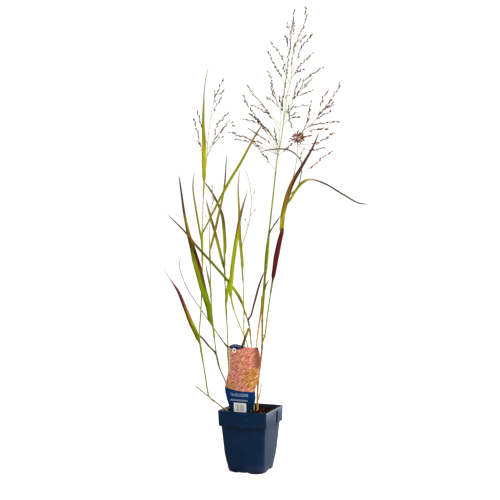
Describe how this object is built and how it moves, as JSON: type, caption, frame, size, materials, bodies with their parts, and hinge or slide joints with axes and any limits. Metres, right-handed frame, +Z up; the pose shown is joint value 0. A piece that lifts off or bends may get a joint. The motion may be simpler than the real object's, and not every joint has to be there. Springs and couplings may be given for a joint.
{
  "type": "potted switchgrass",
  "caption": "Tall airy ornamental grass with jointed stems, strap leaves and open seed heads, in a square tapered nursery pot of soil with a stake label.",
  "frame": {"origin": "middle of the pot's underside, on the surface it stands on", "axes": "+Z up, the pot's four sides look along X and Y, -Y towards the side with the stake label"},
  "size_m": [0.4027, 0.2419, 1.0081],
  "materials": {
    "pot_plastic": "satin navy injection-moulded plastic with fine scuffs",
    "potting_soil": "dark crumbly peat mix",
    "label_card": "printed plastic card, satin",
    "stem": "smooth ribbed grass stem, straw-coloured low down and green above",
    "green_leaf": "matt grass blade with fine lengthwise veins, green",
    "autumn_leaf": "matt grass blade with fine lengthwise veins, turned red, brown or straw",
    "seed_head": "hair-thin branches with purple-brown spikelets"
  },
  "bodies": {
    "root": {"pot": "pot_plastic", "soil": "potting_soil", "plant_label": "label_card", "culm_a": "stem", "culm_b": "stem", "culm_c": "stem", "culm_d": "stem", "culm_e": "stem", "culm_f": "stem", "culm_g": "stem", "leaf_a1": "autumn_leaf", "leaf_a2": "green_leaf", "leaf_a3": "green_leaf", "leaf_a4": "autumn_leaf", "leaf_b1": "autumn_leaf", "leaf_b2": "autumn_leaf", "leaf_b3": "green_leaf", "leaf_b4": "green_leaf", "leaf_c1": "autumn_leaf", "leaf_c2": "green_leaf", "leaf_c3": "green_leaf", "leaf_c4": "autumn_leaf", "leaf_d1": "autumn_leaf", "leaf_d2": "autumn_leaf", "leaf_d3": "green_leaf", "leaf_e1": "autumn_leaf", "leaf_e2": "autumn_leaf", "leaf_h1": "autumn_leaf", "leaf_h2": "autumn_leaf", "leaf_h3": "green_leaf", "leaf_h4": "autumn_leaf", "leaf_f1": "green_leaf", "leaf_g1": "green_leaf", "seed_head_a": "seed_head", "seed_head_b": "seed_head", "seed_head_e": "seed_head", "seed_head_f": "seed_head", "seed_head_side": "seed_head"}
  },
  "joints": []
}
